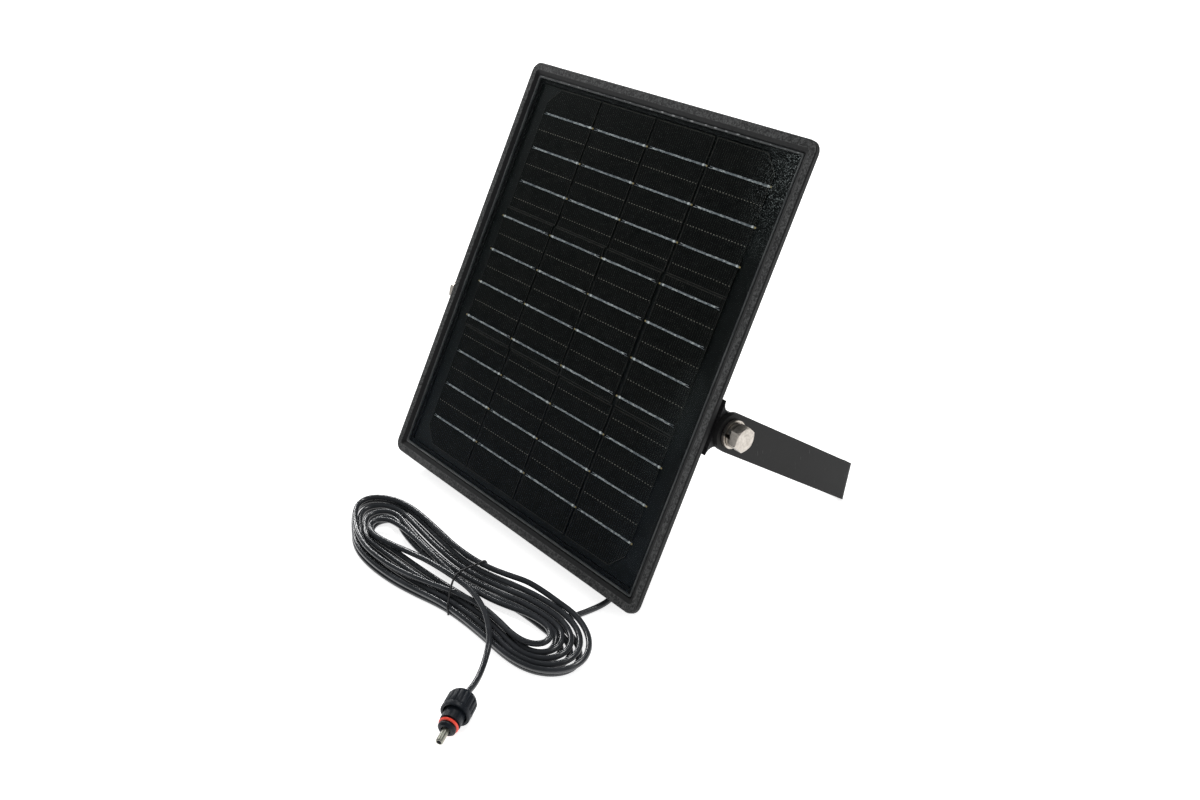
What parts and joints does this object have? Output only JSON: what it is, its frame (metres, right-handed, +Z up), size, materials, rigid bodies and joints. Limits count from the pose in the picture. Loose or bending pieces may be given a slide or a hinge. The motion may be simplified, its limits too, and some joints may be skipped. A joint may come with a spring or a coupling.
{
  "type": "solar panel",
  "caption": "Small framed solar panel that powers a security camera, pivoted on a U-shaped bracket by two hex bolts, with a tied black cable ending in a ribbed waterproof DC plug.",
  "frame": {"origin": "on the floor under the middle of the panel and its bracket, as it stands on the case's lower rear edge and the bracket's bar", "axes": "+Z up; +X to the viewer's right along the pivot axis; the cells face -Y and up, and the bracket's bar is at +Y"},
  "size_m": [0.2068, 0.2273, 0.1768],
  "materials": {
    "frame_plastic": "fine sandy moulded texture",
    "case_plastic": "moulded, lightly textured",
    "clear_cover": "smooth and glossy",
    "sealant": "clear cured bead",
    "silicon": "black anti-reflection coat with fine printed fingers",
    "black_board": "satin",
    "circuit_board": "solder mask",
    "diode_black": "moulded",
    "stainless": "bright, lightly brushed",
    "brass": "machined",
    "painted_steel": "matt black powder coat",
    "cable_pvc": "smooth, slightly glossy sheath",
    "tie_pvc": "smooth",
    "plug_pvc": "satin moulded",
    "silicone_red": "smooth silicone",
    "plated": "dull nickel plate"
  },
  "bodies": {
    "panel": {"bezel_frame": "frame_plastic", "glass_cover": "clear_cover", "edge_seal": "sealant", "solar_cell_r1_c1": "silicon", "solar_cell_r1_c2": "silicon", "solar_cell_r1_c3": "silicon", "solar_cell_r1_c4": "silicon", "solar_cell_r2_c1": "silicon", "solar_cell_r2_c2": "silicon", "solar_cell_r2_c3": "silicon", "solar_cell_r2_c4": "silicon", "solar_cell_r3_c1": "silicon", "solar_cell_r3_c2": "silicon", "solar_cell_r3_c3": "silicon", "solar_cell_r3_c4": "silicon", "backing_board": "black_board", "terminal_board": "circuit_board", "blocking_diode": "diode_black", "back_case": "case_plastic", "case_screw_1": "stainless", "case_screw_2": "stainless", "case_screw_3": "stainless", "case_screw_4": "stainless", "case_screw_5": "stainless", "case_screw_6": "stainless", "cable_gland": "plug_pvc", "pivot_bolt_left": "stainless", "pivot_bolt_right": "stainless", "flat_washer_left": "stainless", "flat_washer_right": "stainless", "spring_washer_left": "stainless", "spring_washer_right": "stainless", "threaded_insert_left": "brass", "threaded_insert_right": "brass", "cord_lead": "cable_pvc", "cord_hank": "cable_pvc", "hank_tie": "tie_pvc", "cord_tail": "cable_pvc", "plug_body": "plug_pvc", "plug_o_ring": "silicone_red", "plug_barrel": "plated", "plug_insulator": "plug_pvc"},
    "bracket": {"mount_bracket": "painted_steel"},
    "nut": {"coupling_nut": "plug_pvc"}
  },
  "joints": [
    {"name": "bracket_tilt", "type": "hinge", "parent": "panel", "child": "bracket", "pos_m": [0, -0.0083, 0.07123], "axis": [1, 0, 0], "range_deg": [-78, 84]},
    {"name": "nut_spin", "type": "hinge", "parent": "panel", "child": "nut", "pos_m": [0.077, -0.1395, 0.0065], "axis": [0.5112, -0.8593, -0.02], "continuous": true}
  ]
}
